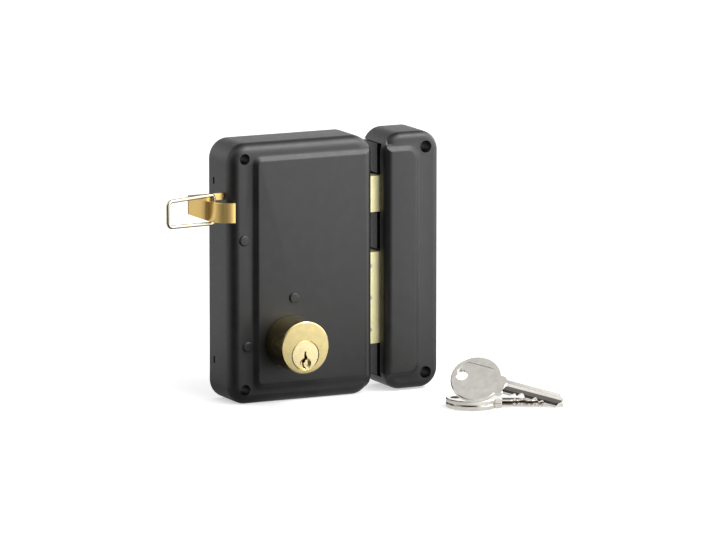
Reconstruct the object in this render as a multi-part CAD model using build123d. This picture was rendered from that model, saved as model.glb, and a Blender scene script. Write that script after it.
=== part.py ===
from build123d import *
import math
import os

# A rim lock with its keeper and three keys, in millimetres.
# The origin is where the key axis meets the door side of the back plate.
# X points from the lock to the keeper, Y into the door and Z up.

# Lock case
case_height = 140.0
case_width = 83.5
case_depth = 26.5
case_bend = 5.8
case_corner = 10.5
sheet = 1.5
backset = 50.0
key_axis_height = 28.7
plate_recess = 5.2
panel_rise = 2.0
panel_side_margin = 13.3
panel_end_margin = 7.2
panel_low_extra = 1.2
panel_corner = 4.5
panel_slope = 50.0
panel_crest = 1.6
panel_foot = 0.5
panel_seam = 0.06

# Fixing holes at the hinge side of the case
fixing_side = 8.7
fixing_end = 8.1
fixing_radius = 2.9
spacer_wall = 1.1
spacer_chamfer = 0.7
spacer_gap = 0.4

# Back plate
plate_thickness = 1.5
plate_clearance = 0.3
tab_height = 3.4
tab_clearance = 0.15
tab_recess = 0.9
tab_low = 22.0
tab_high = 118.4
tail_bore = 6.0
plate_screw_radius = 2.4
plate_screw_side = 9.0
plate_screw_end = 14.0

# Fore-end plate and its screws
fore_end_thickness = 2.5
fore_end_end_gap = 2.0
fore_end_screw_end = 19.0
screw_radius = 2.0
screw_head_radius = 3.9
screw_length = 9.0
slot_width = 0.9
slot_depth = 0.8

# Bolts
bolt_thickness = 12.0
bolt_back_gap = 0.3
bolt_clearance = 0.25
window_clearance = 1.0
dead_bolt_height = 49.5
dead_bolt_low = 25.9
dead_bolt_throw = 20.7
dead_bolt_hold = 11.5
latch_height = 19.4
latch_low = 97.1
latch_throw = 13.0
latch_travel = 12.5
latch_hold = 11.0
bolt_edge = 0.5
saw_pin_radius = 1.2
saw_pin_pitch = 17.25
saw_pin_side = 2.1
saw_pin_recess = 0.15

# Gear train from the plug to the dead bolt
idler_side = 36.3
idler_height = 56.1
plug_teeth = 14
wheel_teeth = 40
pinion_teeth = 9
key_turns = 2
pressure_angle = 20.0
tooth_backlash = 0.14
gear_thickness = 2.5
gear_front_gap = 0.5
tooth_addendum_share = 0.9
tooth_dedendum_share = 1.2
pinion_shift_share = 0.5
axle_radius = 2.5
axle_clearance = 0.06
axle_step = 1.6
rack_thickness = 4.0
rack_body = 9.6
rack_spare = 3.6
rack_seat = 9.6
rack_guide_radius = 2.0
rack_guide_side = 47.6
rack_guide_clearance = 0.2
rack_guide_head = 3.4
rack_guide_head_height = 1.3
rivet_radius = 1.5

# Posts that hold the cover to the back plate, measured from the case's corner
post_radius = 4.0
post_shank = 1.8
post_dome = 2.85
post_dome_height = 0.9
post_dome_round = 0.8
upper_post_side = 8.2
upper_post_height = 88.4
lower_post_side = 10.0
lower_post_height = 31.3

# Cylinder
cylinder_radius = 14.0
cylinder_proud = 20.0
cylinder_offset = 4.0
cylinder_chamfer = 0.6
cylinder_flange = 1.5
cylinder_flange_step = 1.5
cylinder_fit = 0.1
plug_radius = 7.7
plug_fit = 0.05
plug_seam = 0.25
plug_tail_radius = 4.6
plug_tail_flat = 3.4
plug_tail_proud = 1.6
clip_thickness = 0.8
collar_step = 0.7
collar_gap = 0.05
clip_step = 1.6
scoop_radius = 3.3
scoop_depth = 1.3
scoop_drop = 4.6
cylinder_screw_spread = 10.8
cylinder_screw_drop = 2.5
cylinder_screw_depth = 8.0
cylinder_screw_head = 1.8
pin_count = 5
pin_pitch = 3.9
pin_first = 4.6
pin_radius = 1.35
pin_fit = 0.05
pin_crown = 0.2
driver_length = 3.6
chamber_depth = 8.4
pin_length_shares = (0.72, 0.60, 0.84, 0.66, 0.78)
keyway_outline_shares = (
    (-0.055, 0.27), (-0.10, -0.08), (-0.065, -0.29), (-0.20, -0.42), (-0.145, -0.84), (0.045, -0.975),
    (0.15, -0.93), (-0.045, -0.77), (-0.065, -0.56), (0.045, -0.47), (0.15, -0.12), (0.055, 0.03),
    (0.065, 0.27),
)

# Latch spring, rod and bracket
rod_radius = 2.0
rod_thread = 6.0
rod_spare = 8.0
rod_clip_thickness = 0.8
rod_clip_step = 1.4
spring_radius = 3.3
spring_wire = 0.45
spring_turns = 7
spring_wire_sides = 6
spring_gap = 0.3
strip_spring_gap = 0.4
bracket_thickness = 2.0
bracket_place = 33.5
bracket_width = 12.0
bracket_strip_gap = 0.45
bracket_foot = 9.0

# Pull strip and its ring
strip_thickness = 1.5
strip_sink = 0.35
strip_top = 113.6
strip_neck = 3.6
strip_relief = 1.0
strip_kerf = 0.3
strip_slot_clearance = 0.3
strip_reach = 20.2
strip_end_height = 10.2
strip_fold_side = 9.2
strip_body_height = 13.0
strip_seat = 8.0
tongue_height = 10.5
tongue_straight = 1.9
tongue_radius = 10.4
ring_wire = 1.0
ring_length = 30.1
ring_root_height = 15.2
ring_end_height = 13.6
ring_corner = 2.6
ring_root_corner = 1.6
ring_side_gap = 0.25
ring_front_gap = 0.55
ring_drop = 0.2
ring_angle = 12.5

# Keeper
keeper_gap = 6.9
keeper_width = 32.6
keeper_lift = 0.9
keeper_bend = 4.2
keeper_panel_margin = 12.3
keeper_panel_end = 7.1
keeper_panel_corner = 7.0
keeper_hole_side = 8.1
keeper_hole_end = 8.4
keeper_hole_radius = 3.25
keeper_plate = 2.0
keeper_web_recess = 0.5
keeper_web_depth = 10.0
mouth_low = 6.7
mouth_high = 6.1
mouth_lip = 5.2
mouth_clearance = 0.4

# Keys: bow, blade and how the third one leans on the other two
bow_radius = 13.75
key_length = 62.3
key_thickness = 2.5
blade_fit = 0.12
blade_top = 1.3
key_hole_radius = 3.3
key_hole_side = 8.3
pad_radius = 11.4
pad_half_height = 8.6
pad_right = 8.2
pad_recess = 0.25
bow_edge = 0.45
shoulder_length = 4.5
shoulder_height = 11.2
cut_first = 9.0
cut_flat = 0.8
cut_depth_shares = (0.20, 0.34, 0.12, 0.28, 0.22)
blade_tip = 2.6
key_gap = 0.1
stack_x = 82.0
stack_y = -75.6
stack_turn = -27.8
second_key_turn = 2.0
lean_x = 79.9
lean_y = -85.5
lean_turn = -45.6
lean_roll = 45.0
lean_gap = 0.3

overrun = 1.0

# Places that follow from the sizes above
case_right = backset
case_left = backset - case_width
case_bottom = -key_axis_height
case_top = case_bottom + case_height
door_face = plate_recess
case_front = door_face - case_depth
panel_front = case_front - panel_rise
inner_front = case_front + sheet
inner_panel = panel_front + sheet
plate_front = -plate_thickness
bolt_back = plate_front - bolt_back_gap
bolt_front = bolt_back - bolt_thickness
strip_front = bolt_front + strip_sink
dead_bolt_bottom = case_bottom + dead_bolt_low
dead_bolt_top = dead_bolt_bottom + dead_bolt_height
latch_bottom = case_bottom + latch_low
latch_top = latch_bottom + latch_height
latch_middle = latch_bottom + latch_height / 2
idler_x = case_left + idler_side
idler_z = case_bottom + idler_height
gear_front = inner_front + gear_front_gap
gear_back = gear_front + gear_thickness
rack_front = bolt_front
rack_back = rack_front + rack_thickness
cylinder_front = panel_front - cylinder_proud
cylinder_back = inner_panel + cylinder_flange
fixing_places = [
    (case_left + fixing_side, case_bottom + fixing_end),
    (case_left + fixing_side, case_top - fixing_end),
]
post_places = [
    (case_left + upper_post_side, case_bottom + upper_post_height),
    (case_left + lower_post_side, case_bottom + lower_post_height),
]
cylinder_screw_places = [
    (side * cylinder_screw_spread, cylinder_offset - cylinder_screw_drop) for side in (-1, 1)
]
saw_pin_x = case_right + saw_pin_side
saw_pin_heights = [dead_bolt_bottom + dead_bolt_height / 2 + n * saw_pin_pitch for n in (-1, 0, 1)]
dead_bolt_left = case_right - dead_bolt_hold
dead_bolt_nose = case_right + dead_bolt_throw
latch_left = case_right - latch_hold
latch_nose = case_right + latch_throw
keeper_left = case_right + keeper_gap
keeper_right = keeper_left + keeper_width
keeper_bottom = case_bottom + keeper_lift
keeper_holes = [
    (keeper_right - keeper_hole_side, keeper_bottom + keeper_hole_end),
    (keeper_right - keeper_hole_side, case_top - keeper_hole_end),
]

# Gear sizes: the module of the first pair follows the centre distance, that of the second the throw
centre_distance = math.hypot(idler_x, idler_z)
wheel_module = 2 * centre_distance / (plug_teeth + wheel_teeth)
idler_angle = math.degrees(math.atan2(idler_z, idler_x))
pinion_pitch_radius = dead_bolt_throw / (key_turns * math.tau * plug_teeth / wheel_teeth)
pinion_module = 2 * pinion_pitch_radius / pinion_teeth
pinion_back = rack_back + gear_front_gap
rack_line = idler_z - pinion_pitch_radius - pinion_shift_share * pinion_module
rack_root = rack_line - tooth_dedendum_share * pinion_module
rack_bottom = rack_root - rack_body
rack_middle = rack_bottom + rack_body / 2
rack_pitch = math.pi * pinion_module
rack_guide_x = case_left + rack_guide_side


def rect(left, right, bottom, top, corner=0):
    """A rectangle in the front view, with rounded corners if a radius is given."""
    shape = Rectangle(right - left, top - bottom)
    if corner:
        shape = RectangleRounded(right - left, top - bottom, corner)
    return Pos((left + right) / 2, (bottom + top) / 2) * shape


def polygon(points):
    """A face with straight sides in the front view."""
    return make_face(Polyline(*points, close=True))


def slab(sketch, back, front):
    """A sketch of the front view made solid from back to front."""
    return extrude(Plane.XZ.offset(-back) * sketch, amount=back - front)


def bar(radius, back, front, x=0, z=0):
    """A round bar along Y."""
    return slab(Pos(x, z) * Circle(radius), back, front)


def bars(radius, back, front, places):
    """Round bars along Y, as a list of solids."""
    return [bar(radius, back, front, x, z) for x, z in places]


def side_bar(radius, left, right, y, z):
    """A round bar along X."""
    return extrude(Plane.YZ.offset(left) * Pos(y, z) * Circle(radius), amount=right - left)


def rounded_block(left, right, bottom, top, back, front, corner, bend):
    """A block with rounded corners in the front view and a rounded front edge."""
    block = slab(rect(left, right, bottom, top, corner), back, front)
    return fillet(block.faces().sort_by(Axis.Y)[0].edges(), bend)


def raised_block(panel, far, front, sink, rise, slope, corner_grow=0):
    """A block with sloping sides that starts below the front face and runs past one side."""
    near, low, high, panel_radius, side = panel
    grow = sink * math.tan(math.radians(slope))
    near_edge = near - side * grow
    sketch = rect(min(near_edge, far), max(near_edge, far), low - grow, high + grow)
    near_corners = sketch.vertices().sort_by(Axis.X, reverse=side < 0)[:2]
    sketch = fillet(near_corners, panel_radius + corner_grow + grow)
    return extrude(Plane.XZ.offset(-front - sink) * sketch, amount=sink + rise, taper=slope)


def pressed_form(left, right, bottom, top, back, front, corner, bend, panel):
    """A rounded block with a raised panel that runs off one side, over its rounded edge."""
    near, low, high, panel_radius, side = panel
    body = rounded_block(left, right, bottom, top, back, front, corner, bend)
    limit = rounded_block(
        left + panel_seam, right - panel_seam, bottom + panel_seam, top - panel_seam, back,
        front - panel_rise, corner - panel_seam, bend,
    )
    sink = bend + overrun
    far = (right if side > 0 else left) + side * 4 * (sink + panel_rise)
    raised = raised_block(panel, far, front, sink, panel_rise, panel_slope)
    raised = fillet(raised.faces().sort_by(Axis.Y)[0].edges(), panel_crest)
    foot_slope = (90 + panel_slope) / 2
    foot_rise = panel_foot / (math.tan(math.radians(foot_slope)) - math.tan(math.radians(panel_slope)))
    skirt = (near - side * panel_foot, low - panel_foot, high + panel_foot, panel_radius, side)
    foot = raised_block(skirt, far, front, foot_rise, foot_rise, foot_slope, panel_foot)
    return body + (raised & limit) + (foot & limit)


def pressed_cover(left, right, bottom, top, bend, panel):
    """A sheet cover, open to the door."""
    near, low, high, panel_radius, side = panel
    slope = math.radians(panel_slope)
    inset = sheet * (1 / math.cos(slope) - math.tan(slope))
    inner_panel = (near + side * inset, low + inset, high - inset, panel_radius - inset, side)
    outer = pressed_form(left, right, bottom, top, door_face, case_front, case_corner, bend, panel)
    inner = pressed_form(
        left + sheet, right - sheet, bottom + sheet, top - sheet, door_face + overrun, inner_front,
        case_corner - sheet, bend - sheet, inner_panel,
    )
    return outer - inner


def bolt_window(bottom, height, clearance):
    """The space that a bolt passes through in an upright wall, as two corners in Y and Z."""
    low = (bolt_front - clearance, bottom - clearance)
    high = (bolt_back + clearance, bottom + height + clearance)
    return low, high


def window_block(left, right, bottom, height, clearance):
    """A block that cuts a bolt's window from left to right."""
    low, high = bolt_window(bottom, height, clearance)
    return slab(rect(left, right, low[1], high[1]), high[0], low[0])


def involute(angle):
    """The involute function of an angle in radians."""
    return math.tan(angle) - angle


def polar(radius, angle):
    return (radius * math.cos(angle), radius * math.sin(angle))


def gear_outline(teeth, module, phase, shift_share=0):
    """Involute teeth round the origin, one of them pointing along the phase angle in degrees."""
    pressure = math.radians(pressure_angle)
    pitch = module * teeth / 2
    base = pitch * math.cos(pressure)
    root = pitch - (tooth_dedendum_share - shift_share) * module
    tip = pitch + (tooth_addendum_share + shift_share) * module
    start = max(base, root)
    thickness = module * (math.pi / 2 + 2 * shift_share * math.tan(pressure)) - tooth_backlash / 2

    def half(radius):
        return thickness / (2 * pitch) + involute(pressure) - involute(math.acos(base / radius))

    edges = []
    step = math.tau / teeth
    middle_radius = (start + tip) / 2
    for tooth in range(teeth):
        at = math.radians(phase) + tooth * step
        rise = [polar(r, at - half(r)) for r in (start, middle_radius, tip)]
        fall = [polar(r, at + half(r)) for r in (tip, middle_radius, start)]
        foot = [polar(root, at - half(start)), polar(root, at + half(start))]
        edges.append(ThreePointArc(*rise))
        edges.append(Line(rise[2], fall[0]))
        edges.append(ThreePointArc(*fall))
        if root < start:
            edges.append(Line(foot[0], rise[0]))
            edges.append(Line(fall[2], foot[1]))
        edges.append(Line(foot[1], polar(root, at + step - half(start))))
    return make_face(edges)


def case_panel():
    """The case's raised panel, which runs off the bolt side."""
    return (
        case_left + panel_side_margin, case_bottom + panel_end_margin + panel_low_extra,
        case_top - panel_end_margin, panel_corner, 1,
    )


def case_cover():
    cover = pressed_cover(case_left, case_right, case_bottom, case_top, case_bend, case_panel())
    cover -= bars(fixing_radius, door_face, case_front - overrun, fixing_places)
    cover -= bars(post_shank, door_face, case_front - overrun, post_places)
    cover -= bar(post_shank, door_face, panel_front - overrun, idler_x, idler_z)
    cover -= bar(
        cylinder_radius + cylinder_fit, inner_front, panel_front - overrun, 0, cylinder_offset
    )
    for bottom, height in ((dead_bolt_bottom, dead_bolt_height), (latch_bottom, latch_height)):
        wall_left = case_right - sheet - overrun
        cover -= window_block(wall_left, case_right + overrun, bottom, height, window_clearance)
    for z in (case_bottom + fore_end_screw_end, case_top - fore_end_screw_end):
        y = plate_front - fore_end_screw_end / 2
        cover -= side_bar(screw_radius, case_right - sheet - overrun, case_right + overrun, y, z)
    slot_left = case_left - overrun
    slot_right = case_left + sheet + overrun
    for z in (case_bottom + tab_low, case_bottom + tab_high):
        reach = tab_height / 2 + tab_clearance
        cover -= slab(
            rect(slot_left, slot_right, z - reach, z + reach), tab_clearance, plate_front - tab_clearance
        )
    neck_top = case_bottom + strip_top
    cover -= slab(
        rect(
            slot_left, slot_right, neck_top - strip_neck - strip_slot_clearance,
            neck_top + strip_slot_clearance,
        ),
        strip_front + strip_thickness + strip_slot_clearance,
        strip_front - strip_slot_clearance,
    )
    return cover


def back_plate():
    edge = sheet + plate_clearance
    outline = rect(
        case_left + edge, case_right - edge, case_bottom + edge, case_top - edge, case_corner - edge
    )
    for z in (case_bottom + tab_low, case_bottom + tab_high):
        outline += rect(
            case_left + tab_recess, case_left + edge + overrun, z - tab_height / 2, z + tab_height / 2
        )
    plate = slab(outline, 0, plate_front)
    plate -= bars(spacer_radius(), 0, plate_front, fixing_places)
    plate -= bars(post_shank, 0, plate_front, post_places + [(idler_x, idler_z)])
    plate -= bar(rivet_radius, 0, plate_front, rack_guide_x, rack_middle)
    plate -= bar(tail_bore, 0, plate_front)
    plate -= bars(screw_radius, 0, plate_front, cylinder_screw_places)
    plate -= bars(plate_screw_radius, 0, plate_front, plate_screw_places())
    return plate


def plate_screw_places():
    """The two screw holes beside the bolt side, reached with the cover off."""
    x = case_right - plate_screw_side
    return [(x, case_bottom + plate_screw_end), (x, case_top - plate_screw_end)]


def spacer_radius():
    return fixing_radius + spacer_wall


def case_spacers():
    """The two tubes that the fixing screws pass through."""
    return [spacer(x, z, spacer_radius(), fixing_radius, door_face) for x, z in fixing_places]


def spacer(x, z, outer_radius, inner_radius, back):
    """A tube that stops just short of a cover's front, and bears on it when the screws are tight."""
    front = inner_front + spacer_gap
    tube = bar(outer_radius, back, front, x, z)
    tube = chamfer(tube.edges().sort_by(Axis.Y)[0], spacer_chamfer)
    return tube - bar(inner_radius, back, front, x, z)


def case_room():
    """The room inside the case cover, without its raised panel."""
    return rounded_block(
        case_left + sheet, case_right - sheet, case_bottom + sheet, case_top - sheet, door_face + overrun,
        inner_front, case_corner - sheet, case_bend - sheet,
    )


def post(x, z, foot, front, outside):
    """A shouldered post riveted through the back plate and the cover."""
    body = bar(post_shank, 0, plate_front, x, z)
    body += bar(post_radius, plate_front, foot, x, z) & case_room()
    if foot > front:
        body += bar(axle_radius, foot, front, x, z)
    body += bar(post_shank, front, outside, x, z)
    head = bar(post_dome, outside, outside - post_dome_height, x, z)
    return body + fillet(head.edges().sort_by(Axis.Y)[0], post_dome_round)


def cover_posts():
    return [post(x, z, inner_front, inner_front, case_front) for x, z in post_places]


def idler_post():
    return post(idler_x, idler_z, pinion_back + axle_clearance, inner_panel, panel_front)


def fore_end_plate():
    """The stiff plate behind the case's bolt side, which guides both bolts."""
    right = case_right - sheet
    left = right - fore_end_thickness
    end = case_corner + fore_end_end_gap
    plate = slab(rect(left, right, case_bottom + end, case_top - end), plate_front, case_front + case_bend)
    for bottom, height in ((dead_bolt_bottom, dead_bolt_height), (latch_bottom, latch_height)):
        plate -= window_block(left - overrun, right + overrun, bottom, height, bolt_clearance)
    for z in (case_bottom + fore_end_screw_end, case_top - fore_end_screw_end):
        plate -= side_bar(screw_radius, left, right, plate_front - fore_end_screw_end / 2, z)
    return plate


def fore_end_screws():
    """Two cheese-head screws that hold the cover to the fore-end plate."""
    screws = []
    for z in (case_bottom + fore_end_screw_end, case_top - fore_end_screw_end):
        y = plate_front - fore_end_screw_end / 2
        shank = side_bar(screw_radius, case_right - screw_length + screw_head_height(), case_right, y, z)
        head = side_bar(screw_head_radius, case_right, case_right + screw_head_height(), y, z)
        head = chamfer(head.edges().sort_by(Axis.X)[-1], screw_head_height() / 4)
        slot = slab(
            rect(
                case_right + screw_head_height() - slot_depth, case_right + screw_head_height(),
                z - screw_head_radius, z + screw_head_radius,
            ),
            y + slot_width / 2,
            y - slot_width / 2,
        )
        screws.append(shank + head - slot)
    return screws


def screw_head_height():
    return screw_radius


def dead_bolt():
    """The bolt's block, with a seat for the rack and holes for the hardened pins."""
    outline = rect(dead_bolt_left, dead_bolt_nose, dead_bolt_bottom, dead_bolt_top)
    bolt = slab(outline, bolt_back, bolt_front)
    bolt = chamfer(bolt.faces().sort_by(Axis.X)[-1].edges(), bolt_edge)
    seat = rect(dead_bolt_left, dead_bolt_left + rack_seat, rack_bottom, rack_root)
    bolt -= slab(seat, rack_back, rack_front)
    bolt -= bars(rivet_radius, bolt_back, bolt_front, rack_rivet_places())
    bolt -= bars(saw_pin_radius, bolt_back, bolt_front, [(saw_pin_x, z) for z in saw_pin_heights])
    return bolt


def dead_bolt_pins():
    """Hardened pins against sawing, just below the bolt's faces."""
    places = [(saw_pin_x, z) for z in saw_pin_heights]
    return bars(saw_pin_radius, bolt_back - saw_pin_recess, bolt_front + saw_pin_recess, places)


def rack_rivet_places():
    return [(dead_bolt_left + rack_seat * share, rack_middle) for share in (0.3, 0.74)]


def dead_bolt_rack():
    """The tail of the dead bolt: a plate with teeth on top and a slot for its guide."""
    pressure = math.tan(math.radians(pressure_angle))
    half = (rack_pitch - tooth_backlash) / 4
    top = rack_line + tooth_addendum_share * pinion_module
    top_half = half - (top - rack_line) * pressure
    root_half = half + (rack_line - rack_root) * pressure
    count = math.ceil(dead_bolt_throw / rack_pitch) + 1
    centres = [idler_x + (n + 0.5) * rack_pitch for n in range(-2, count)]
    left = centres[0] - rack_pitch / 2 - rack_spare
    right = dead_bolt_left + rack_seat
    points = [(right, rack_root), (right, rack_bottom), (left, rack_bottom), (left, rack_root)]
    for x in centres:
        points.append((x - root_half, rack_root))
        points.append((x - top_half, top))
        points.append((x + top_half, top))
        points.append((x + root_half, rack_root))
    plate = slab(polygon(points), rack_back, rack_front)
    slot_half = rack_guide_radius + rack_guide_clearance
    slot = rect(
        rack_guide_x - slot_half, rack_guide_x + dead_bolt_throw + slot_half, rack_middle - slot_half,
        rack_middle + slot_half, slot_half * 0.99,
    )
    plate -= slab(slot, rack_back, rack_front)
    plate -= bars(rivet_radius, rack_back, rack_front, rack_rivet_places())
    return plate


def rack_rivets():
    return bars(rivet_radius, bolt_back, bolt_front, rack_rivet_places())


def rack_guide():
    """The headed stud that the rack's slot runs on."""
    x, z = rack_guide_x, rack_middle
    head_back = rack_front - bolt_clearance
    stud = bar(rivet_radius, 0, plate_front, x, z) + bar(rack_guide_radius, plate_front, head_back, x, z)
    return stud + bar(rack_guide_head, head_back, head_back - rack_guide_head_height, x, z)


def cylinder_gear():
    """The gear on the plug's tail, with the thrust collar that bears on the cylinder's back."""
    outline = gear_outline(plug_teeth, wheel_module, idler_angle)
    collar = Circle(plug_radius + collar_step)
    gear = slab(outline, gear_back, gear_front) + slab(collar, gear_front, cylinder_back + collar_gap)
    return gear - slab(tail_outline(), gear_back, cylinder_back)


def tail_outline():
    """The plug's tail in section: round with two flats."""
    tail = Circle(plug_tail_radius)
    return tail & rect(-plug_tail_flat, plug_tail_flat, -plug_tail_radius, plug_tail_radius)


def idler_wheel():
    """The large wheel of the idler, with lightening holes."""
    phase = idler_angle + 180 + 180 / wheel_teeth
    outline = gear_outline(wheel_teeth, wheel_module, phase) - Circle(pinion_spigot())
    hole_radius = (wheel_module * wheel_teeth / 2 - pinion_spigot()) / 4
    hole_place = (wheel_module * wheel_teeth / 2 + pinion_spigot()) / 2
    outline -= PolarLocations(hole_place, key_turns + 4) * Circle(hole_radius)
    return slab(Pos(idler_x, idler_z) * outline, gear_back, gear_front)


def pinion_spigot():
    return axle_radius + axle_clearance + axle_step / 2


def idler_pinion():
    """The small pinion of the idler, with the spigot that the wheel is pressed on."""
    outline = gear_outline(pinion_teeth, pinion_module, -90, pinion_shift_share)
    pinion = slab(Pos(idler_x, idler_z) * outline, pinion_back, gear_back)
    pinion += bar(pinion_spigot(), gear_back, gear_front, idler_x, idler_z)
    return pinion - bar(axle_radius + axle_clearance, pinion_back, gear_front, idler_x, idler_z)


def idler_washer():
    """The spacer that keeps the idler off the cover."""
    ring = Circle(axle_radius + axle_step) - Circle(axle_radius + axle_clearance)
    return slab(
        Pos(idler_x, idler_z) * ring, gear_front - axle_clearance, inner_panel + axle_clearance
    )


def cylinder_body():
    """The round body, with the plug's bore low in it and blind chambers for the pins."""
    body = bar(cylinder_radius, cylinder_back, cylinder_front, 0, cylinder_offset)
    body = chamfer(body.edges().sort_by(Axis.Y)[0], cylinder_chamfer)
    flange_radius = cylinder_radius + cylinder_flange_step
    body += bar(flange_radius, cylinder_back, inner_panel, 0, cylinder_offset)
    body -= bar(plug_radius + plug_fit, cylinder_back, cylinder_front)
    mouth = body.edges().group_by(Axis.Y)[0].sort_by(SortBy.LENGTH)[0]
    body = chamfer(mouth, plug_seam)
    for y in pin_rows():
        body -= upright(pin_radius + pin_fit, y, 0, plug_radius + chamber_depth)
    body -= bars(screw_radius, cylinder_back, cylinder_back - cylinder_screw_depth, cylinder_screw_places)
    return body


def pin_rows():
    return [cylinder_front + pin_first + n * pin_pitch for n in range(pin_count)]


def upright(radius, y, low, high):
    """A round bar along Z on the key's centre line."""
    return extrude(Plane.XY.offset(low) * Pos(0, y) * Circle(radius), amount=high - low)


def keyway_face():
    """The crooked keyway in the front view."""
    return polygon([(u * plug_radius, v * plug_radius) for u, v in keyway_outline_shares])


def cylinder_plug():
    """The plug with its keyway, thumb scoop, pin holes and flatted tail."""
    plug = bar(plug_radius, cylinder_back, cylinder_front)
    plug = chamfer(plug.edges().sort_by(Axis.Y)[0], plug_seam)
    tail_end = gear_back + clip_thickness + plug_tail_proud
    plug += slab(tail_outline(), tail_end, cylinder_back)
    scoop_centre = Pos(0, cylinder_front, -scoop_drop)
    dish = scoop_centre * Rot(90, 0, 0) * Cone(
        scoop_radius - scoop_depth, scoop_radius + scoop_depth, 2 * scoop_depth
    )
    plug -= dish & bar(plug_radius - plug_seam, cylinder_back, cylinder_front - overrun)
    plug -= slab(keyway_face(), cylinder_back - plug_tail_proud, cylinder_front)
    for y in pin_rows():
        plug -= upright(pin_radius + pin_fit, y, 0, plug_radius + overrun)
    blade = rect(-slot_width, slot_width, -plug_tail_radius, plug_tail_radius)
    plug -= slab(blade, tail_end, gear_back)
    return plug


def key_pins():
    """The lower pins, of the lengths that the key's cuts call for, up to the shear line."""
    pins = []
    for y, share in zip(pin_rows(), pin_length_shares):
        top = plug_radius - pin_crown
        pin = upright(pin_radius, y, top - share * plug_radius, top)
        pins.append(chamfer(pin.edges().sort_by(Axis.Z)[0], pin_radius / 2))
    return pins


def driver_pins():
    low = plug_radius + 2 * plug_fit
    return [upright(pin_radius, y, low, low + driver_length) for y in pin_rows()]


def pin_springs():
    """The pin springs, each as the sleeve that its coils fill."""
    low = plug_radius + 2 * plug_fit + driver_length
    high = plug_radius + chamber_depth
    wire = pin_radius / 4
    return [
        upright(pin_radius - pin_fit, y, low, high) - upright(pin_radius - wire, y, low, high)
        for y in pin_rows()
    ]


def plug_clip():
    """The ring that holds the gear on the plug's tail."""
    ring = Circle(plug_tail_radius + clip_step) - tail_outline()
    return slab(ring, gear_back + clip_thickness, gear_back)


def cylinder_screws():
    """The two long screws that pull the cylinder against the cover from the back plate."""
    screws = []
    for x, z in cylinder_screw_places:
        shank = bar(screw_radius, 0, cylinder_back - cylinder_screw_depth, x, z)
        head = bar(screw_head_radius, cylinder_screw_head, 0, x, z)
        slot = slab(
            Pos(x, z) * Rectangle(2 * screw_head_radius, slot_width),
            cylinder_screw_head,
            cylinder_screw_head - slot_depth,
        )
        screws.append(shank + head - slot)
    return screws


def strip_back():
    return strip_front + strip_thickness


def latch_bolt():
    """The sprung latch, bevelled on its door side, with seats for the strip and the rod."""
    outline = rect(latch_left, latch_nose, latch_bottom, latch_top)
    bolt = slab(outline, bolt_back, bolt_front)
    bevel_left = latch_nose - latch_throw + overrun
    bevel = [
        (latch_nose, bolt_front + bolt_thickness / 6), (latch_nose + overrun, bolt_front),
        (latch_nose + overrun, bolt_back + overrun), (bevel_left, bolt_back + overrun),
        (bevel_left, bolt_back),
    ]
    floor = Plane.XY.offset(latch_bottom - overrun)
    bolt -= extrude(floor * polygon(bevel), amount=latch_height + 2 * overrun)
    seat = rect(latch_left, latch_left + strip_seat, latch_bottom, case_bottom + strip_top)
    bolt -= slab(seat, strip_back(), bolt_front)
    bolt -= bars(rivet_radius, bolt_back, strip_back(), strip_rivet_places())
    return bolt - side_bar(rod_radius, latch_left, latch_left + rod_thread, rod_y(), latch_middle)


def rod_y():
    return strip_back() + strip_spring_gap + spring_wire + spring_radius


def strip_rivet_places():
    x = latch_left + strip_seat / 2
    top = case_bottom + strip_top
    return [(x, top - strip_body_height * share) for share in (0.16, 0.84)]


def strip_rivets():
    return bars(rivet_radius, bolt_back, strip_front, strip_rivet_places())


def pull_strip():
    """The brass strip: a flat in the case, a neck through its side, and a tongue curled to the front."""
    top = case_bottom + strip_top
    neck_low = top - strip_neck
    fold = case_left - strip_fold_side
    end = case_left - strip_reach
    inside = case_left + sheet + latch_travel + overrun
    tongue_top = neck_low - strip_kerf
    tongue_low = tongue_top - tongue_height
    body_low = top - strip_body_height
    points = [
        (end, top), (end, top - strip_end_height), (fold, tongue_low), (fold + strip_thickness, tongue_low),
        (fold + strip_thickness, tongue_top), (fold + 2 * strip_thickness, neck_low), (inside, neck_low),
        (inside + strip_neck, body_low), (latch_left + strip_seat, body_low), (latch_left + strip_seat, top),
    ]
    front = strip_front
    flat = slab(polygon(points), strip_back(), front)
    flat -= bars(rivet_radius, strip_back(), front, strip_rivet_places())
    flat -= bar(strip_relief, strip_back(), front, fold + 2 * strip_thickness, neck_low)
    turn = front - tongue_straight
    inner = tongue_radius - strip_thickness
    centre = (fold + tongue_radius, turn)
    lean = math.radians(45)
    corner = (centre[0] - tongue_radius * math.cos(lean), turn - tongue_radius * math.sin(lean))
    inner_corner = (centre[0] - inner * math.cos(lean), turn - inner * math.sin(lean))
    plan = make_face([
        Line((fold, strip_back()), (fold, turn)),
        ThreePointArc((fold, turn), corner, (centre[0], turn - tongue_radius)),
        Line((centre[0], turn - tongue_radius), (centre[0], turn - inner)),
        ThreePointArc((centre[0], turn - inner), inner_corner, (fold + strip_thickness, turn)),
        Line((fold + strip_thickness, turn), (fold + strip_thickness, strip_back())),
        Line((fold + strip_thickness, strip_back()), (fold, strip_back())),
    ])
    tongue = extrude(Plane.XY.offset(tongue_low) * plan, amount=tongue_height)
    return flat + tongue


def ring_place():
    """Where the ring's upright wire hangs inside the tongue's fold."""
    x = case_left - strip_fold_side + strip_thickness + ring_side_gap + ring_wire
    y = strip_front - ring_front_gap - ring_wire
    tongue_low = case_bottom + strip_top - strip_neck - strip_kerf - tongue_height
    z = tongue_low - ring_drop - ring_wire + ring_root_height / 2
    return x, y, z


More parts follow.
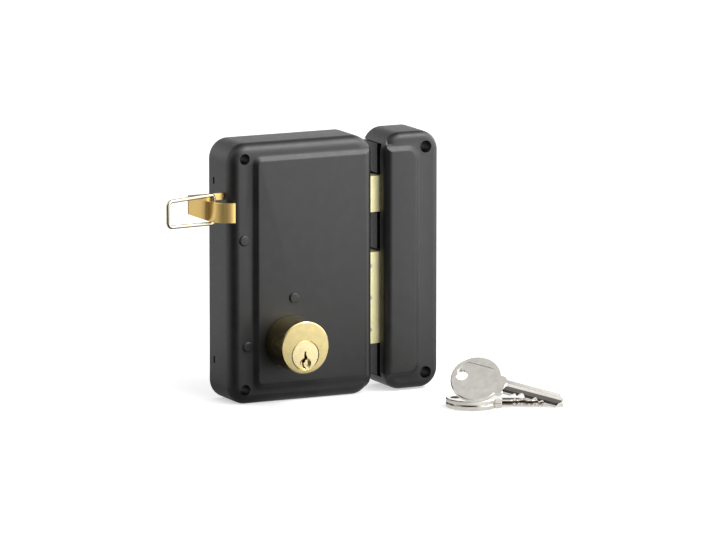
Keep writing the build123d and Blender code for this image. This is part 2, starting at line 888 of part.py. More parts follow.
def pull_ring():
    """The wire loop, a little lower at its free end."""
    root = ring_root_height / 2
    end = ring_end_height / 2
    loop = polygon([(0, -root), (0, root), (-ring_length, end), (-ring_length, -end)])
    loop = fillet(loop.vertices().sort_by(Axis.X)[:2], ring_corner)
    loop = fillet(loop.vertices().sort_by(Axis.X)[-2:], ring_root_corner)
    path = (Plane.XZ * loop).face().outer_wire()
    section = Plane(origin=path @ 0, z_dir=path % 0) * Circle(ring_wire)
    return Pos(*ring_place()) * Rot(0, 0, ring_angle) * sweep(section, path=path)


def latch_rod():
    """The rod behind the latch that carries its spring."""
    left = bracket_left() - rod_spare / 2
    return side_bar(rod_radius, left, latch_left + rod_thread, rod_y(), latch_middle)


def bracket_left():
    return case_left + bracket_place


def rod_clip():
    """The clip that stops the latch at the end of its throw."""
    right = bracket_left() - rod_clip_thickness / 8
    left = right - rod_clip_thickness
    clip = side_bar(rod_radius + rod_clip_step, left, right, rod_y(), latch_middle)
    return clip - side_bar(rod_radius, left, right, rod_y(), latch_middle)


def spring_bracket():
    """The bent bracket that the latch spring pushes against."""
    left = bracket_left()
    low = latch_middle - bracket_width / 2
    high = latch_middle + bracket_width / 2
    front = strip_back() + bracket_strip_gap
    wall = slab(rect(left, left + bracket_thickness, low, high), plate_front, front)
    foot = slab(
        rect(left - bracket_foot, left, low, high), plate_front, plate_front - bracket_thickness
    )
    hole = side_bar(
        rod_radius + plate_clearance / 2, left - overrun, left + bracket_thickness + overrun, rod_y(),
        latch_middle,
    )
    clip_room = rod_radius + rod_clip_step + plate_clearance
    clip_way = side_bar(clip_room, left - bracket_foot - overrun, left, rod_y(), latch_middle)
    return wall + (foot - clip_way) - hole


def latch_spring():
    """The coil spring on the rod."""
    left = bracket_left() + bracket_thickness + spring_gap + spring_wire
    right = latch_left - spring_gap - spring_wire
    coil = Helix((right - left) / spring_turns, right - left, spring_radius)
    section = Plane(origin=coil @ 0, z_dir=coil % 0) * RegularPolygon(spring_wire, spring_wire_sides)
    return Pos(left, rod_y(), latch_middle) * Rot(0, 90, 0) * sweep(section, path=coil)


def keeper_panel():
    """The keeper's raised panel, which runs off the side that faces the lock."""
    return (
        keeper_right - keeper_panel_margin, keeper_bottom + keeper_panel_end, case_top - keeper_panel_end,
        keeper_panel_corner, -1,
    )


def keeper_cover():
    cover = pressed_cover(keeper_left, keeper_right, keeper_bottom, case_top, keeper_bend, keeper_panel())
    cover -= bars(keeper_hole_radius, door_face, case_front - overrun, keeper_holes)
    mouth = rect(
        keeper_left - overrun, keeper_left + sheet + overrun, keeper_bottom + mouth_low,
        case_top - mouth_high,
    )
    return cover - slab(mouth, door_face, case_front + mouth_lip)


def keeper_plate_bent():
    """The keeper's bent plate: a base on the frame and a web with notches for the bolts."""
    edge = sheet + plate_clearance
    web_left = keeper_left + keeper_web_recess
    low = keeper_bottom + mouth_low + mouth_clearance
    high = case_top - mouth_high - mouth_clearance
    base = rect(
        keeper_left + edge, keeper_right - edge, keeper_bottom + edge, case_top - edge, case_corner - edge
    )
    base += rect(web_left, web_left + 2 * keeper_plate, low, high)
    web_back = door_face - keeper_plate
    plate = slab(base, door_face, web_back)
    web_front = case_front + keeper_web_depth
    plate += slab(rect(web_left, web_left + keeper_plate, low, high), web_back, web_front)
    for bottom, height in ((dead_bolt_bottom, dead_bolt_height), (latch_bottom, latch_height)):
        window_left = web_left - overrun
        window_right = web_left + keeper_plate + overrun
        plate -= window_block(window_left, window_right, bottom, height, window_clearance)
    return plate - bars(keeper_hole_radius, door_face, web_back, keeper_holes)


def keeper_spacers():
    """The two tubes that the keeper's screws pass through."""
    outer_radius = keeper_hole_radius + spacer_wall
    back = door_face - keeper_plate
    return [spacer(x, z, outer_radius, keeper_hole_radius, back) for x, z in keeper_holes]


def key():
    """A key lying flat: bow centre at the origin, blade along X, cuts on the -Y side."""
    half = key_thickness / 2
    tip = key_length - bow_radius
    bow = Cylinder(bow_radius, key_thickness)
    bow = chamfer(bow.edges().group_by(Axis.Z)[0] + bow.edges().group_by(Axis.Z)[-1], bow_edge)
    pad_left = -bow_radius
    pad = Circle(pad_radius) & rect(pad_left, pad_right, -pad_half_height, pad_half_height, pad_recess * 8)
    for face, amount in ((half, pad_recess), (-half, -pad_recess)):
        bow -= extrude(Plane.XY.offset(face - amount) * pad, amount=2 * amount)
    bow += shoulder()
    blade_face = offset(keyway_face(), -blade_fit)
    low = blade_face.bounding_box().min.Y
    middle = (low + blade_top) / 2
    across = blade_face.bounding_box().center().X
    blade_face = Rot(0, 0, 90) * Pos(-across, -middle) * blade_face
    section = Plane.YZ.offset(bow_radius - shoulder_length) * blade_face
    blade = extrude(section, amount=tip - bow_radius + shoulder_length)
    limit = Pos((tip + bow_radius) / 2, 0) * Box(tip, 2 * (blade_top - middle), bow_radius)
    blade = blade & limit & key_outline(tip, blade_top - middle)
    body = bow + blade
    return body - Pos(-key_hole_side, 0) * Cylinder(key_hole_radius, key_thickness * 2)


def shoulder():
    """The neck between bow and blade."""
    left = bow_radius - shoulder_length
    neck = rect(left, bow_radius + shoulder_length / 2, -shoulder_height / 2, shoulder_height / 2)
    corners = neck.vertices().sort_by(Axis.X)[-2:]
    neck = chamfer(corners, shoulder_length / 3)
    return extrude(Plane.XY.offset(-key_thickness / 2) * neck, amount=key_thickness)


def key_outline(tip, half):
    """The blade seen flat, as a solid: a pointed tip and the cuts for the pins."""
    height = 2 * half
    outline = polygon([(0, half), (tip - blade_tip, half), (tip, 0), (tip - blade_tip, -half), (0, -half)])
    for n in range(pin_count):
        x = bow_radius + cut_first + n * pin_pitch
        depth = cut_depth_shares[n] * height
        spread = cut_flat / 2 + depth + overrun
        outline -= polygon([
            (x - cut_flat / 2, depth - half), (x + cut_flat / 2, depth - half),
            (x + spread, -half - overrun), (x - spread, -half - overrun),
        ])
    return extrude(Plane.XY.offset(-bow_radius) * outline, amount=2 * bow_radius)


def lean_angle():
    """How steeply the third key comes down from the stack to the floor, in radians, and its bow's height."""
    roll = math.radians(lean_roll)
    half = key_thickness / 2
    tip = key_length - bow_radius
    stack = 2 * key_thickness + 2 * key_gap + lean_gap
    fall = 0
    height = 0
    for _ in range(60):
        reach = math.hypot(math.sin(fall), math.sin(roll) * math.cos(fall))
        flat = half * math.cos(roll) * math.cos(fall)
        height = stack + bow_radius * reach + flat
        edge = blade_tip / 2 * math.sin(roll) * math.cos(fall)
        fall = math.asin((height - flat - edge - stack) / tip)
    return fall, height


def key_places():
    """Two keys flat on the floor, one on the other, and the third leaning on them."""
    floor = case_bottom + key_thickness / 2 + key_gap
    first = Pos(stack_x, stack_y, floor) * Rot(0, 0, stack_turn)
    second = Pos(stack_x, stack_y, floor + key_thickness + key_gap) * Rot(0, 0, stack_turn + second_key_turn)
    fall, height = lean_angle()
    third = Pos(lean_x, lean_y, case_bottom + height) * Rot(0, 0, lean_turn)
    third = third * Rot(0, math.degrees(fall), 0) * Rot(lean_roll, 0, 0)
    return first, second, third


def write(name, solids):
    """Writes one node, as a compound where it is several solids."""
    shape = Compound(children=list(solids)) if isinstance(solids, list) else solids
    export_step(shape, f"parts/{name}.step")


def main():
    os.makedirs("parts", exist_ok=True)
    makers = (
        case_cover, back_plate, case_spacers, cover_posts, idler_post, fore_end_plate, fore_end_screws,
        dead_bolt, dead_bolt_pins, dead_bolt_rack, rack_rivets, rack_guide, cylinder_gear, idler_wheel,
        idler_pinion, idler_washer, cylinder_body, cylinder_plug, key_pins, driver_pins, pin_springs,
        plug_clip, cylinder_screws, latch_bolt, strip_rivets, pull_strip, pull_ring, latch_rod, rod_clip,
        spring_bracket, latch_spring, keeper_cover, keeper_spacers,
    )
    for maker in makers:
        write(maker.__name__, maker())
    write("keeper_plate", keeper_plate_bent())
    whole_key = key()
    for number, place in enumerate(key_places(), 1):
        write(f"key_{number}", place * whole_key)


main()
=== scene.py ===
"""Looks of the rim lock: finishes, floor, light and camera round the fixed frame."""
import math

import bpy
import numpy as np
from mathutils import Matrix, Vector

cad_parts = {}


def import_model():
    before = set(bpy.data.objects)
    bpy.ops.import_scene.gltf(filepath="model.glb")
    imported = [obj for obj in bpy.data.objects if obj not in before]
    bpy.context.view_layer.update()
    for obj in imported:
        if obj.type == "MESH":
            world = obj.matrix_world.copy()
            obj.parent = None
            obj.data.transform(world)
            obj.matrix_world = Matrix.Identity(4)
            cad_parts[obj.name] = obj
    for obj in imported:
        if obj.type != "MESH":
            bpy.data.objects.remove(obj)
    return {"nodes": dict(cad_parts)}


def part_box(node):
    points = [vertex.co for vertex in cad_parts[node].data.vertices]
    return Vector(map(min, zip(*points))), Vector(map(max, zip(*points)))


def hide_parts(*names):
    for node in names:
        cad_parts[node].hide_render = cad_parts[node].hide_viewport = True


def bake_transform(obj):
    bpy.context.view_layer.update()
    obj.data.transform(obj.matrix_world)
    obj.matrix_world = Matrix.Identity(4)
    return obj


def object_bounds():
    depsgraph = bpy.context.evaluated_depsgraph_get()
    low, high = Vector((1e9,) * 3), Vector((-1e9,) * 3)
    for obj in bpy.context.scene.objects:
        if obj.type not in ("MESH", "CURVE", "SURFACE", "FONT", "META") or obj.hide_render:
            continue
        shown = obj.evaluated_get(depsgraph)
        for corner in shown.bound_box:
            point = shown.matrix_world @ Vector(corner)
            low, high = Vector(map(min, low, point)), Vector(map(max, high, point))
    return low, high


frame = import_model()
cad_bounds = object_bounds()
NODES = frame["nodes"]

MM = 0.001

# Camera, which stands far off and looks down on the lock from the left front
CAMERA_PLACE = (-1.6386, -3.5236, 0.7193)
CAMERA_YAW = 25.6251
CAMERA_PITCH = -9.9319
CAMERA_LENS = 372.69
CAMERA_REACH = 30.0
SENSOR_WIDTH = 36.0

# Finishes, as linear colours
COAT = (0.0072, 0.0070, 0.0070)
BRASS = (0.63, 0.52, 0.25)
PALE_BRASS = (0.95, 0.88, 0.50)
PLUG_BRASS = (0.84, 0.71, 0.40)
STRIP_BRASS = (0.82, 0.57, 0.20)
NICKEL = (0.71, 0.68, 0.63)
WIRE = (0.50, 0.45, 0.35)
ZINC = (0.60, 0.61, 0.63)
HARD_STEEL = (0.42, 0.42, 0.43)

# Shading of the frame's meshes: corners closer than WELD count as one
SMOOTH_ANGLE = 32.0
WELD = 2e-7
TINY = 1e-18

# Scales of the finishes' textures, about in repeats per metre along each axis, and their depths
FINE_GRAIN = (900, 900, 900)
GEAR_GRAIN = (700, 700, 700)
DRAWN_GRAIN = (40, 2600, 2600)
ROLLED_GRAIN = (2600, 2600, 40)
PLATED_GRAIN = (300, 900, 900)
LATHE_RINGS = 900
COAT_DEPTH = 0.03 * MM
BLACK_DEPTH = 0.01 * MM
RING_DEPTH = 0.002 * MM
BRUSH_DEPTH = 0.0015 * MM
ZINC_DEPTH = 0.004 * MM
PLATING_DEPTH = 0.006 * MM

# The axes along Y that the brass was turned round, as X and Z
CYLINDER_AXIS = (0, 4 * MM)
PLUG_AXIS = (0, 0)

# The middle part of a noise's values, which a finish spreads over its own range
NOISE_LOW = 0.3
NOISE_HIGH = 0.7

# The pull strip's fold, left of which its brass is darkened as painted shade
PAINTED_SHADE_END = -43.6 * MM
PAINTED_SHADE_START = -42.8 * MM
PAINTED_SHADE_SHARE = 0.5

# The latch's coil spring, as in the frame
SPRING_WIRE = 0.45 * MM
SPRING_TURNS = 7
SPRING_STEPS = 28
SPRING_SIDES = 10

# The surroundings as the lock's surfaces mirror them, where 1 is white: brighter than white at the
# right front, dark at the left front, and with a glow on the floor close to the lock's foot
DARK_WAY = (-0.62, -0.78, 0)
BRIGHT_WAY = (0.78, -0.62, 0)
BACK_WAY = (0, 1, 0)
FRONT_GLOW = 2.85
SIDE_GLOW = 1.2
BACK_GLOW = 0.75
FOOT_GLOW = 0.35
LOCK_MIDDLE = (0.02, -0.02, 0)
OVERHEAD_WAY = (0.1, 0.45, 0.887)
ALONG_X = (1, 0, 0)

# The floor, its lift for the camera, and the shares of the surroundings' brightness that its reflections
# show: near the lock, far from it, at its foot and beside it, lower close by as painted shadow
FLOOR_HALF = 6.0
FLOOR_WHITE = (0.86, 0.86, 0.86, 1)
FLOOR_ROUGHNESS = 0.9
FLOOR_SPECULAR = 0.1
FLOOR_LIFT = 0.5
FLOOR_FAR = 1.2
FLOOR_NEAR_SHARE = 0.42
FLOOR_FAR_SHARE = 1.3
FOOT_SHADOW_SHARE = 0.2
SIDE_NEAR_SHARE = 0.25

# The world's brightness to soft light and to the camera, then the shares of the surroundings'
# brightness that its reflections show: in general, overhead and towards the back
PLAIN_SKY = 0.75
WHITE_SKY = 1.0
SKY_SHARE = 1.4
OVERHEAD_SHARE = 0.2
BACK_SHARE = 1.5


def smooth(obj, degrees=SMOOTH_ANGLE):
    """Shades a frame piece smoothly across its shallow edges, with its mesh as it is."""
    mesh = obj.data
    count = len(mesh.vertices)
    places = np.zeros(count * 3)
    mesh.vertices.foreach_get("co", places)
    keys = np.round(places.reshape(-1, 3) / WELD).astype(np.int64)
    group = np.unique(keys, axis=0, return_inverse=True)[1].ravel()
    faces = len(mesh.polygons)
    normals = np.zeros(faces * 3)
    mesh.polygons.foreach_get("normal", normals)
    normals = normals.reshape(-1, 3)
    corner_vertex = np.zeros(len(mesh.loops), np.int64)
    mesh.loops.foreach_get("vertex_index", corner_vertex)
    totals = np.zeros(faces, np.int64)
    mesh.polygons.foreach_get("loop_total", totals)
    corner_face = np.repeat(np.arange(faces), totals)
    corners = places.reshape(-1, 3)[corner_vertex]
    starts = np.concatenate(([0], np.cumsum(totals)[:-1]))
    index = np.arange(len(corner_vertex))
    first = starts[corner_face]
    after = first + (index - first + 1) % totals[corner_face]
    before = first + (index - first - 1) % totals[corner_face]
    one = corners[after] - corners
    two = corners[before] - corners
    span = np.linalg.norm(one, axis=1) * np.linalg.norm(two, axis=1) + TINY
    weight = np.arccos(np.clip((one * two).sum(1) / span, -1, 1))
    corner_group = group[corner_vertex]
    order = np.argsort(corner_group, kind="stable")
    edges = np.flatnonzero(np.diff(corner_group[order])) + 1
    limit = math.cos(math.radians(degrees))
    result = np.zeros((len(corner_vertex), 3))
    for block in np.split(order, edges):
        block_normals = normals[corner_face[block]]
        close = (block_normals @ block_normals.T > limit) * weight[block][None, :]
        result[block] = close @ block_normals
    result /= np.linalg.norm(result, axis=1)[:, None] + TINY
    mesh.shade_smooth()
    mesh.normals_split_custom_set(result.tolist())


class Finish:
    """A material under construction, with its principled shader."""

    def __init__(self, name, colour, metal, roughness):
        self.material = bpy.data.materials.new(name)
        self.material.use_nodes = True
        self.tree = self.material.node_tree
        self.shader = self.tree.nodes["Principled BSDF"]
        self.shader.inputs["Base Color"].default_value = (*colour, 1)
        self.shader.inputs["Metallic"].default_value = metal
        self.shader.inputs["Roughness"].default_value = roughness
        self.place = self.add("ShaderNodeTexCoord").outputs["Object"]

    def add(self, kind, **settings):
        node = self.tree.nodes.new(kind)
        for key, value in settings.items():
            setattr(node, key, value)
        return node

    def join(self, source, target):
        self.tree.links.new(source, target)

    def stretched(self, scale, move=(0, 0, 0)):
        """Object coordinates, moved and stretched."""
        mapping = self.add("ShaderNodeMapping")
        mapping.inputs["Location"].default_value = move
        mapping.inputs["Scale"].default_value = scale
        self.join(self.place, mapping.inputs["Vector"])
        return mapping.outputs["Vector"]

    def noise(self, scale, detail, place=None, roughness=0.5):
        """Noise over object coordinates, or over the place given."""
        node = self.add("ShaderNodeTexNoise")
        node.inputs["Scale"].default_value = scale
        node.inputs["Detail"].default_value = detail
        node.inputs["Roughness"].default_value = roughness
        self.join(place or self.place, node.inputs["Vector"])
        return node.outputs["Fac"]

    def ranged(self, value, low, high):
        """A noise's value, remapped to run from low to high."""
        node = self.add("ShaderNodeMapRange")
        node.inputs["From Min"].default_value = NOISE_LOW
        node.inputs["From Max"].default_value = NOISE_HIGH
        node.inputs["To Min"].default_value = low
        node.inputs["To Max"].default_value = high
        self.join(value, node.inputs["Value"])
        return node.outputs["Result"]

    def tint(self, value, one, two):
        """A colour between two, by a value from 0 to 1."""
        node = self.add("ShaderNodeMix", data_type="RGBA")
        node.inputs[6].default_value = (*one, 1)
        node.inputs[7].default_value = (*two, 1)
        self.join(value, node.inputs["Factor"])
        self.join(node.outputs[2], self.shader.inputs["Base Color"])

    def bump(self, value, height, strength):
        """A fine relief that follows a value."""
        node = self.add("ShaderNodeBump")
        node.inputs["Strength"].default_value = strength
        node.inputs["Distance"].default_value = height
        self.join(value, node.inputs["Height"])
        self.join(node.outputs["Normal"], self.shader.inputs["Normal"])

    def rough(self, value, low, high):
        """A roughness that follows a noise from low to high."""
        self.join(self.ranged(value, low, high), self.shader.inputs["Roughness"])

    def mottle(self, colour, scale, detail, dark, light):
        """A colour that varies in soft patches between two shares of itself."""
        patches = self.ranged(self.noise(scale, detail), 0, 1)
        self.tint(patches, shaded(colour, dark), shaded(colour, light))


def shaded(colour, factor):
    return tuple(c * factor for c in colour)


def coat():
    """Satin black powder coat with a fine orange peel."""
    finish = Finish("powder_coat", COAT, metal=0.0, roughness=0.42)
    finish.mottle(COAT, scale=160, detail=3, dark=0.8, light=1.3)
    finish.rough(finish.noise(scale=420, detail=3), low=0.39, high=0.45)
    finish.bump(finish.noise(scale=1300, detail=2), COAT_DEPTH, strength=0.6)
    return finish.material


def black_steel():
    """Black plated steel, as on the rivets and the plates."""
    finish = Finish("black_steel", COAT, metal=0.0, roughness=0.38)
    finish.rough(finish.noise(scale=900, detail=3), low=0.3, high=0.45)
    finish.bump(finish.noise(scale=2600, detail=2), BLACK_DEPTH, strength=0.5)
    return finish.material


def turned_brass(name, colour, middle, roughness):
    """Brass turned in a lathe, with fine rings round an axis along Y."""
    finish = Finish(name, colour, metal=1.0, roughness=roughness)
    place = finish.stretched((1, 0, 1), (-middle[0], 0, -middle[1]))
    rings = finish.add("ShaderNodeTexWave", wave_type="RINGS", rings_direction="Y", wave_profile="SIN")
    rings.inputs["Scale"].default_value = LATHE_RINGS
    rings.inputs["Distortion"].default_value = 1.0
    rings.inputs["Detail"].default_value = 2
    rings.inputs["Detail Scale"].default_value = 3
    finish.join(place, rings.inputs["Vector"])
    finish.mottle(colour, scale=260, detail=4, dark=0.93, light=1.05)
    finish.rough(finish.noise(scale=500, detail=4), low=roughness * 0.75, high=roughness * 1.3)
    finish.bump(rings.outputs["Fac"], RING_DEPTH, strength=0.25)
    return finish.material


def brushed(name, colour, roughness, grain=DRAWN_GRAIN, depth=BRUSH_DEPTH, metal=1.0):
    """Metal with a fine grain, drawn along one direction or even."""
    finish = Finish(name, colour, metal, roughness)
    streaks = finish.noise(scale=1.0, detail=4, place=finish.stretched(grain), roughness=0.6)
    finish.mottle(colour, scale=140, detail=3, dark=0.92, light=1.05)
    finish.rough(streaks, low=roughness * 0.75, high=roughness * 1.35)
    finish.bump(streaks, depth, strength=0.5)
    return finish.material


def strip_brass():
    """Rolled brass strip, darkened by painted shade where it stands out beyond the fold."""
    finish = Finish("strip_brass", STRIP_BRASS, metal=0.8, roughness=0.34)
    nodes = finish.tree.nodes
    links = finish.tree.links
    # Painted shade: the strip's colour is darkened left of its fold
    painted_shade = slope_value(nodes, links, finish.place, ALONG_X, PAINTED_SHADE_END, PAINTED_SHADE_START, low=1, high=0)
    finish.tint(painted_shade, STRIP_BRASS, shaded(STRIP_BRASS, PAINTED_SHADE_SHARE))
    streaks = finish.noise(scale=1.0, detail=4, place=finish.stretched(ROLLED_GRAIN), roughness=0.6)
    finish.rough(streaks, low=0.27, high=0.42)
    finish.bump(streaks, BRUSH_DEPTH, strength=0.5)
    return finish.material


def plated(name, colour, roughness):
    """Nickel plating over a stamped blank, with faint handling marks."""
    finish = Finish(name, colour, metal=1.0, roughness=roughness)
    marks = finish.noise(scale=1.0, detail=5, place=finish.stretched(PLATED_GRAIN), roughness=0.65)
    finish.mottle(colour, scale=220, detail=4, dark=0.9, light=1.04)
    finish.rough(marks, low=roughness * 0.7, high=roughness * 1.5)
    finish.bump(finish.noise(scale=1300, detail=3), PLATING_DEPTH, strength=0.4)
    return finish.material


def dress(material, *names):
    """Gives a finish to frame pieces."""
    for name in names:
        slots = NODES[name].data.materials
        if not slots:
            slots.append(material)
        for n in range(len(slots)):
            slots[n] = material


def latch_coil(material):
    """The latch's spring, a coil between its bracket and the bolt."""
    low, high = (Vector(corner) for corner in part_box("latch_spring"))
    middle = (low + high) / 2
    radius = (high.y - low.y) / 2 - SPRING_WIRE
    left = low.x + SPRING_WIRE
    length = high.x - low.x - 2 * SPRING_WIRE
    rings = SPRING_TURNS * SPRING_STEPS + 1
    points = []
    for n in range(rings):
        turn = 2 * math.pi * n / SPRING_STEPS
        out = Vector((0, math.cos(turn), math.sin(turn)))
        along = Vector((length / (SPRING_TURNS * 2 * math.pi * radius), -out.z, out.y)).normalized()
        centre = Vector((left + length * n / (rings - 1), middle.y, middle.z)) + out * radius
        side = along.cross(out)
        for k in range(SPRING_SIDES):
            angle = 2 * math.pi * k / SPRING_SIDES
            points.append(centre + (out * math.cos(angle) + side * math.sin(angle)) * SPRING_WIRE)
    faces = [tuple(reversed(range(SPRING_SIDES))), tuple(range(len(points) - SPRING_SIDES, len(points)))]
    for n in range(rings - 1):
        for k in range(SPRING_SIDES):
            a = n * SPRING_SIDES + k
            b = n * SPRING_SIDES + (k + 1) % SPRING_SIDES
            faces.append((a, b, b + SPRING_SIDES, a + SPRING_SIDES))
    mesh = bpy.data.meshes.new("latch_coil")
    mesh.from_pydata(points, [], faces)
    mesh.shade_smooth()
    mesh.materials.append(material)
    coil = bpy.data.objects.new("latch_coil", mesh)
    bpy.context.scene.collection.objects.link(coil)
    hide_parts("latch_spring")
    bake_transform(coil)


def dress_all():
    """Gives every frame piece its finish."""
    dress(coat(), "case_cover", "keeper_cover")
    dress(
        black_steel(), "cover_posts", "idler_post", "back_plate", "keeper_plate", "case_spacers",
        "keeper_spacers",
    )
    zinc = brushed("zinc_plate", ZINC, 0.38, FINE_GRAIN, ZINC_DEPTH)
    dress(
        zinc, "idler_washer", "rack_guide", "fore_end_plate", "fore_end_screws", "cylinder_screws",
        "spring_bracket", "idler_pinion", "dead_bolt_rack", "rack_rivets", "latch_rod", "strip_rivets",
    )
    dress(turned_brass("cylinder_brass", BRASS, CYLINDER_AXIS, 0.2), "cylinder_body")
    dress(turned_brass("plug_brass", PLUG_BRASS, PLUG_AXIS, 0.26), "cylinder_plug")
    dress(turned_brass("pin_brass", BRASS, PLUG_AXIS, 0.3), "key_pins", "driver_pins")
    dress(brushed("gear_brass", BRASS, 0.32, GEAR_GRAIN), "cylinder_gear", "idler_wheel")
    dress(brushed("bolt_brass", PALE_BRASS, 0.42, metal=0.45), "dead_bolt", "latch_bolt")
    dress(strip_brass(), "pull_strip")
    dress(plated("wire_nickel", WIRE, 0.24), "pull_ring")
    dress(plated("key_nickel", NICKEL, 0.17), "key_1", "key_2", "key_3")
    dress(brushed("hard_steel", HARD_STEEL, 0.3, FINE_GRAIN), "dead_bolt_pins")
    spring_steel = brushed("spring_steel", HARD_STEEL, 0.25, FINE_GRAIN)
    dress(spring_steel, "pin_springs", "latch_spring", "plug_clip", "rod_clip")
    latch_coil(spring_steel)


def plane(name, corners):
    """One flat face."""
    mesh = bpy.data.meshes.new(name)
    mesh.from_pydata(corners, [], [tuple(range(len(corners)))])
    obj = bpy.data.objects.new(name, mesh)
    bpy.context.scene.collection.objects.link(obj)
    return obj


def floor():
    """A wide white floor that keeps the soft shadow, with a brightness of its own for reflections."""
    low = cad_bounds[0][2]
    signs = ((-1, -1), (1, -1), (1, 1), (-1, 1))
    corners = [(x * FLOOR_HALF, y * FLOOR_HALF, low) for x, y in signs]
    obj = plane("floor", corners)
    material = bpy.data.materials.new("floor_white")
    material.use_nodes = True
    nodes = material.node_tree.nodes
    links = material.node_tree.links
    shader = nodes["Principled BSDF"]
    shader.inputs["Base Color"].default_value = FLOOR_WHITE
    shader.inputs["Roughness"].default_value = FLOOR_ROUGHNESS
    shader.inputs["Specular IOR Level"].default_value = FLOOR_SPECULAR
    shader.inputs["Emission Color"].default_value = (1, 1, 1, 1)
    path = nodes.new("ShaderNodeLightPath")
    lift = nodes.new("ShaderNodeMath")
    lift.operation = "MULTIPLY"
    lift.inputs[1].default_value = FLOOR_LIFT
    links.new(path.outputs["Is Camera Ray"], lift.inputs[0])
    links.new(lift.outputs[0], shader.inputs["Emission Strength"])
    place = nodes.new("ShaderNodeTexCoord").outputs["Object"]
    away = vector_step(nodes, links, "SUBTRACT", place, LOCK_MIDDLE)
    flat = vector_step(nodes, links, "MULTIPLY", away, (1, 1, 0))
    way = vector_step(nodes, links, "NORMALIZE", flat)
    span = measured(nodes, links, flat)
    # Painted shadow: the floor's brightness in reflections is lower close to the lock and at its foot
    distance = ramp_value(nodes, links, span, 0.0, FLOOR_FAR, FLOOR_NEAR_SHARE, FLOOR_FAR_SHARE, "LINEAR")
    foot = slope_value(nodes, links, away, BACK_WAY, start=-0.13, end=-0.02, low=1.0, high=FOOT_SHADOW_SHARE)
    front = joined(nodes, links, "MULTIPLY", distance, foot)
    sides = ramp_value(nodes, links, span, start=0.04, end=0.25, low=SIDE_NEAR_SHARE, high=1.0)
    right = slope_value(nodes, links, place, ALONG_X, start=-0.03, end=0.005, low=0.0, high=FOOT_GLOW)
    close = slope_value(nodes, links, away, BACK_WAY, start=-0.09, end=-0.04, low=0.0, high=1.0)
    near = joined(nodes, links, "MULTIPLY", right, close)
    glow = nodes.new("ShaderNodeEmission")
    total = joined(nodes, links, "ADD", surroundings(nodes, links, way, front, sides), near)
    links.new(total, glow.inputs["Strength"])
    mix = nodes.new("ShaderNodeMixShader")
    links.new(path.outputs["Is Glossy Ray"], mix.inputs[0])
    links.new(shader.outputs[0], mix.inputs[1])
    links.new(glow.outputs[0], mix.inputs[2])
    links.new(mix.outputs[0], nodes["Material Output"].inputs["Surface"])
    obj.data.materials.append(material)


def vector_step(nodes, links, operation, vector, other=None):
    """A vector after one step of vector arithmetic."""
    node = nodes.new("ShaderNodeVectorMath")
    node.operation = operation
    links.new(vector, node.inputs[0])
    if other:
        node.inputs[1].default_value = other
    return node.outputs["Vector"]


def measured(nodes, links, vector):
    """The length of a vector."""
    node = nodes.new("ShaderNodeVectorMath")
    node.operation = "LENGTH"
    links.new(vector, node.inputs[0])
    return node.outputs["Value"]


def joined(nodes, links, operation, one, two):
    """Two values added, or multiplied."""
    node = nodes.new("ShaderNodeMath")
    node.operation = operation
    links.new(one, node.inputs[0])
    links.new(two, node.inputs[1])
    return node.outputs[0]


def ramp_value(nodes, links, value, start, end, low, high, kind="SMOOTHSTEP"):
    """A value that goes from low to high as the one given goes from start to end."""
    ramp = nodes.new("ShaderNodeMapRange")
    ramp.interpolation_type = kind
    ramp.inputs["From Min"].default_value = start
    ramp.inputs["From Max"].default_value = end
    ramp.inputs["To Min"].default_value = low
    ramp.inputs["To Max"].default_value = high
    links.new(value, ramp.inputs["Value"])
    return ramp.outputs["Result"]


def slope_value(nodes, links, place, direction, start, end, low, high):
    """A value that goes smoothly from low to high along a direction."""
    dot = nodes.new("ShaderNodeVectorMath")
    dot.operation = "DOT_PRODUCT"
    dot.inputs[1].default_value = direction
    links.new(place, dot.inputs[0])
    return ramp_value(nodes, links, dot.outputs["Value"], start, end, low, high)


def surroundings(nodes, links, way, front_share=None, side_share=None):
    """How bright the surroundings look in a mirror, by direction from the lock."""
    dark = slope_value(nodes, links, way, DARK_WAY, start=0.35, end=0.97, low=1.0, high=0.0)
    bright = slope_value(nodes, links, way, BRIGHT_WAY, start=-0.1, end=0.5, low=0.0, high=1.0)
    front = slope_value(nodes, links, way, BRIGHT_WAY, start=-0.1, end=0.5, low=0.0, high=FRONT_GLOW)
    rest = slope_value(nodes, links, way, BACK_WAY, start=0.1, end=0.9, low=SIDE_GLOW, high=BACK_GLOW)
    less = ramp_value(nodes, links, bright, start=0.0, end=1.0, low=1.0, high=0.0, kind="LINEAR")
    side = joined(nodes, links, "MULTIPLY", rest, less)
    if front_share:
        front = joined(nodes, links, "MULTIPLY", front, front_share)
        side = joined(nodes, links, "MULTIPLY", side, side_share)
    return joined(nodes, links, "MULTIPLY", joined(nodes, links, "ADD", front, side), dark)


def lamp(name, place, aim, size, energy):
    """A white area lamp that the camera doesn't see."""
    data = bpy.data.lights.new(name, "AREA")
    data.shape = "RECTANGLE"
    data.size = size[0]
    data.size_y = size[1]
    data.energy = energy
    obj = bpy.data.objects.new(name, data)
    bpy.context.scene.collection.objects.link(obj)
    obj.location = place
    obj.rotation_euler = (Vector(aim) - Vector(place)).to_track_quat("-Z", "Y").to_euler()
    obj.visible_camera = False
    return obj


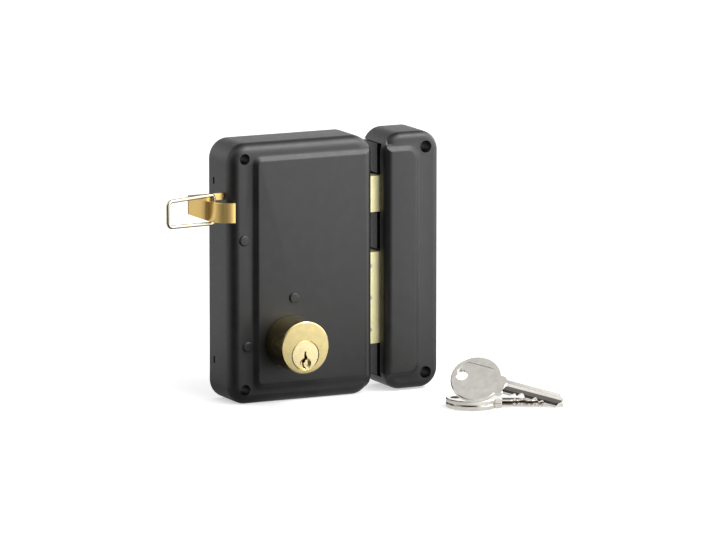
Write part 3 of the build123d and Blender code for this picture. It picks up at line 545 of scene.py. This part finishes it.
def world():
    """White to the camera, plain to soft light, and the surroundings to reflections, dim overhead."""
    sky = bpy.data.worlds.new("studio")
    bpy.context.scene.world = sky
    sky.use_nodes = True
    nodes = sky.node_tree.nodes
    links = sky.node_tree.links
    nodes.clear()
    out = nodes.new("ShaderNodeOutputWorld")
    place = nodes.new("ShaderNodeTexCoord").outputs["Generated"]
    overhead = slope_value(
        nodes, links, place, OVERHEAD_WAY, start=0.62, end=0.97, low=SKY_SHARE, high=OVERHEAD_SHARE,
    )
    gloss = nodes.new("ShaderNodeBackground")
    far = slope_value(nodes, links, place, BACK_WAY, start=0.4, end=0.85, low=1.0, high=BACK_SHARE)
    glow = joined(nodes, links, "MULTIPLY", surroundings(nodes, links, place), overhead)
    links.new(joined(nodes, links, "MULTIPLY", glow, far), gloss.inputs["Strength"])
    plain = nodes.new("ShaderNodeBackground")
    plain.inputs["Strength"].default_value = PLAIN_SKY
    white = nodes.new("ShaderNodeBackground")
    white.inputs["Color"].default_value = (1, 1, 1, 1)
    white.inputs["Strength"].default_value = WHITE_SKY
    path = nodes.new("ShaderNodeLightPath")
    first = nodes.new("ShaderNodeMixShader")
    links.new(path.outputs["Is Glossy Ray"], first.inputs[0])
    links.new(plain.outputs[0], first.inputs[1])
    links.new(gloss.outputs[0], first.inputs[2])
    second = nodes.new("ShaderNodeMixShader")
    links.new(path.outputs["Is Camera Ray"], second.inputs[0])
    links.new(first.outputs[0], second.inputs[1])
    links.new(white.outputs[0], second.inputs[2])
    links.new(second.outputs[0], out.inputs["Surface"])


def camera():
    """The camera at the photograph's viewing angle."""
    data = bpy.data.cameras.new("camera")
    data.sensor_width = SENSOR_WIDTH
    data.sensor_fit = "HORIZONTAL"
    data.lens = CAMERA_LENS
    data.clip_end = CAMERA_REACH
    obj = bpy.data.objects.new("camera", data)
    bpy.context.scene.collection.objects.link(obj)
    obj.location = CAMERA_PLACE
    obj.rotation_euler = (math.radians(90 + CAMERA_PITCH), 0, math.radians(-CAMERA_YAW))
    bpy.context.scene.camera = obj


for node in NODES.values():
    smooth(node)
dress_all()
floor()
world()
lamp("front_box", place=(0.52, -0.60, 0.95), aim=(0.03, 0, 0.04), size=(0.8, 0.7), energy=9)
fill = lamp("gap_fill", place=(0.10, -1.05, 0.30), aim=(0.055, -0.01, 0.04), size=(0.45, 0.45), energy=5)
fill.visible_glossy = False
camera()
bpy.context.scene.view_settings.view_transform = "Standard"
